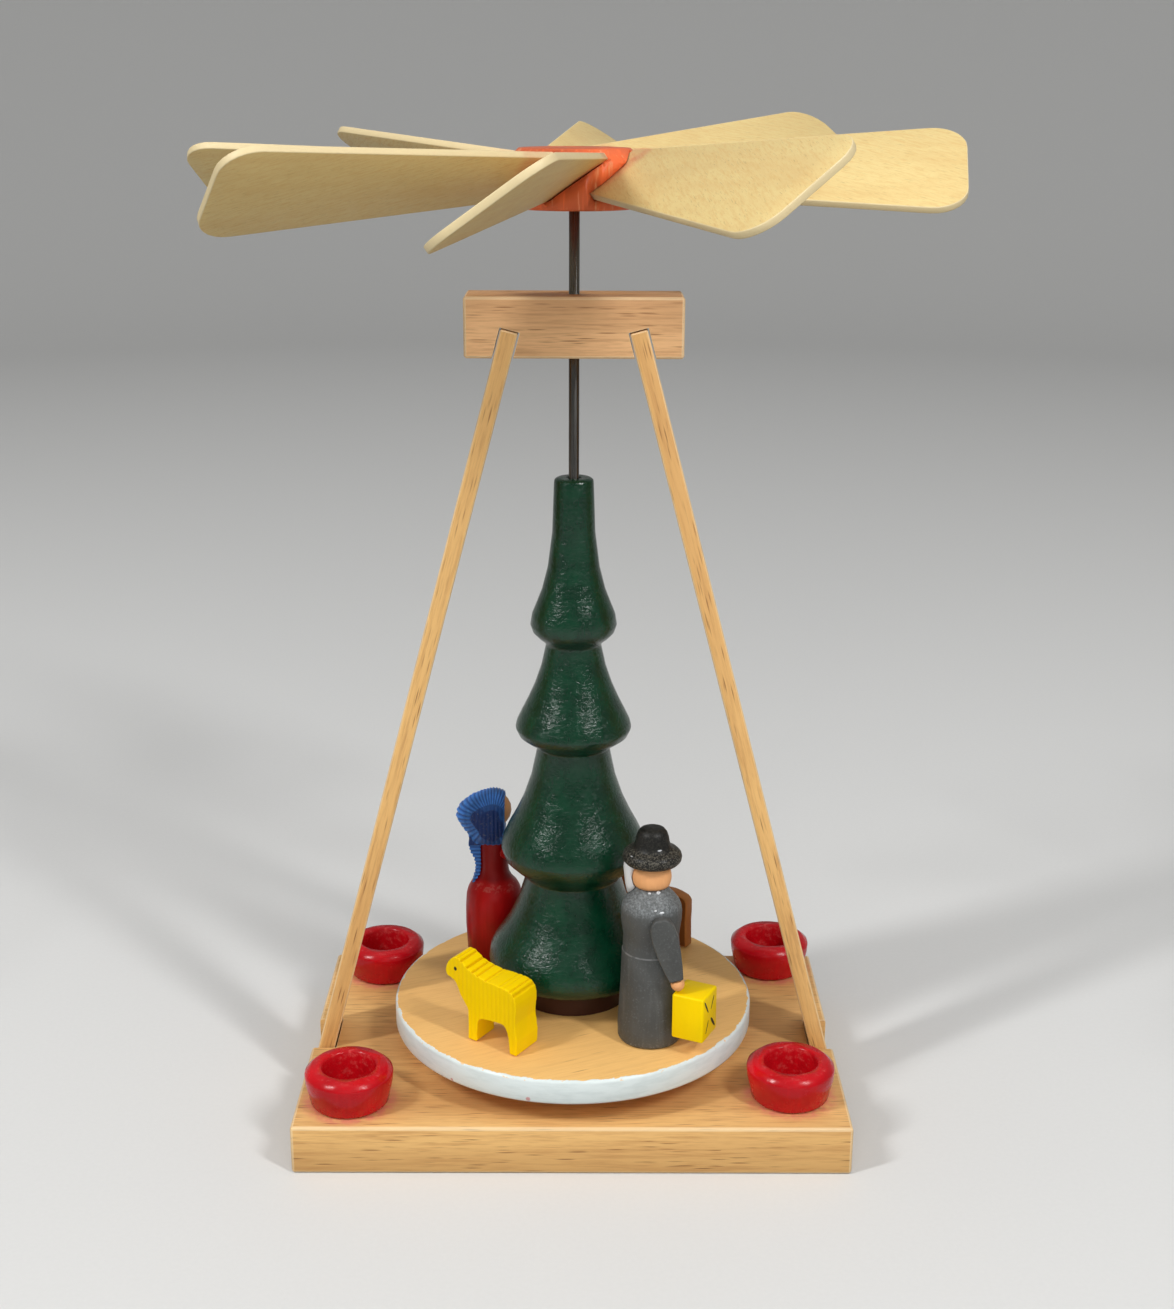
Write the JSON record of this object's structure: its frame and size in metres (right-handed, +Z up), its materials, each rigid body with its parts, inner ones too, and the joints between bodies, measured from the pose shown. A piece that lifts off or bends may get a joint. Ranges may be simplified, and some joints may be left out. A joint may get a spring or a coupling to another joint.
{
  "type": "christmas pyramid",
  "caption": "Table-top wooden candle pyramid: a turning disc with a turned tree and figures under a wheel of pitched blades, in a beech frame with candle cups.",
  "frame": {"origin": "middle of the base board's underside, on the rotor's axis", "axes": "+Z up along the rotor's axis; front towards -Y, where the man with the lantern and the sheep stand at rest; +X to the right seen from the front"},
  "size_m": [0.1707, 0.1701, 0.2353],
  "materials": {
    "beech": "satin",
    "steel_rod": "satin",
    "brass": "polished",
    "blade_veneer": "satin",
    "hub_paint": "satin",
    "cup_paint": "satin",
    "tree_paint": "glossy",
    "trunk_paint": "satin",
    "turntable_wood": "satin",
    "coat_paint": "satin",
    "hat_paint": "matt",
    "skin_paint": "satin",
    "white_paint": "matt",
    "yellow_paint": "satin",
    "dress_paint": "satin",
    "veil_paint": "satin",
    "ox_paint": "satin"
  },
  "bodies": {
    "stand": {"base_board": "beech", "strut_left": "beech", "strut_right": "beech", "crossbar": "beech", "bearing_cup": "brass", "candle_cup_front_left": "cup_paint", "candle_cup_front_right": "cup_paint", "candle_cup_back_left": "cup_paint", "candle_cup_back_right": "cup_paint"},
    "rotor": {"shaft": "steel_rod", "hub": "hub_paint", "blade_1": "blade_veneer", "blade_2": "blade_veneer", "blade_3": "blade_veneer", "blade_4": "blade_veneer", "blade_5": "blade_veneer", "blade_6": "blade_veneer", "blade_7": "blade_veneer", "blade_8": "blade_veneer", "turntable": "turntable_wood", "tree_trunk": "trunk_paint", "tree": "tree_paint", "man_coat": "coat_paint", "man_arm_left": "coat_paint", "man_arm_right": "coat_paint", "man_head": "skin_paint", "man_hand_left": "skin_paint", "man_hand_right": "skin_paint", "man_hat": "hat_paint", "man_beard": "white_paint", "lantern": "yellow_paint", "woman_dress": "dress_paint", "woman_arm_left": "dress_paint", "woman_arm_right": "dress_paint", "woman_head": "skin_paint", "woman_hand_left": "skin_paint", "woman_hand_right": "skin_paint", "woman_veil": "veil_paint", "sheep": "yellow_paint", "ox": "ox_paint"}
  },
  "joints": [
    {"name": "rotor_spin", "type": "hinge", "parent": "stand", "child": "rotor", "pos_m": [0, 0, 0], "axis": [0, 0, 1], "continuous": true}
  ]
}
